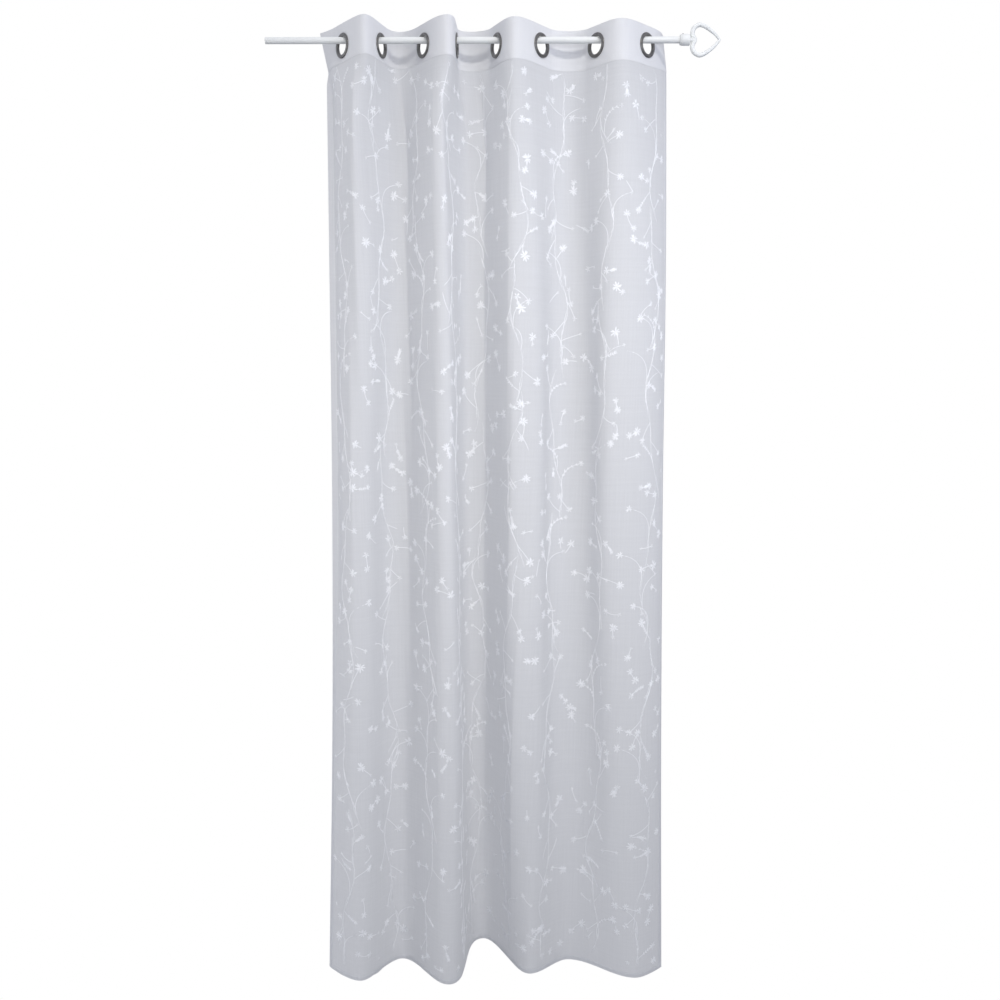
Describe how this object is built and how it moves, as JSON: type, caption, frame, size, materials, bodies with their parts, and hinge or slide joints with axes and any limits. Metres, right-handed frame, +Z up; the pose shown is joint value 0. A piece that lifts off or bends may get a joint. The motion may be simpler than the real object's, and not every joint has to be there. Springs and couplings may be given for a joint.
{
  "type": "sheer eyelet curtain on a curtain rod",
  "caption": "Sheer white voile curtain with a vine figure, hanging in uneven folds from metal eyelets on a thin painted rod with an open heart finial.",
  "frame": {"origin": "on the rod's axis, above the middle of the cloth", "axes": "+X right along the rod towards the finial, -Y the front of the curtain, +Z up"},
  "size_m": [1.1294, 0.2399, 2.4512],
  "materials": {
    "white_voile": "sheer plain weave, part see-through, with a white vine embroidery",
    "white_heading": "folded and stiffened voile, close to solid",
    "pewter_metal": "dark brushed pewter",
    "white_paint": "soft gloss off-white paint, a little uneven on the cast heart",
    "screw_steel": "plain steel"
  },
  "bodies": {
    "root": {"curtain_panel": "white_voile", "heading_1": "white_heading", "heading_2": "white_heading", "heading_3": "white_heading", "heading_4": "white_heading", "heading_5": "white_heading", "heading_6": "white_heading", "heading_7": "white_heading", "heading_8": "white_heading", "eyelet_1": "pewter_metal", "eyelet_2": "pewter_metal", "eyelet_3": "pewter_metal", "eyelet_4": "pewter_metal", "eyelet_5": "pewter_metal", "eyelet_6": "pewter_metal", "eyelet_7": "pewter_metal", "eyelet_8": "pewter_metal", "rod": "white_paint", "finial_collar": "white_paint", "finial_set_screw": "screw_steel", "finial_heart": "white_paint"}
  },
  "joints": []
}
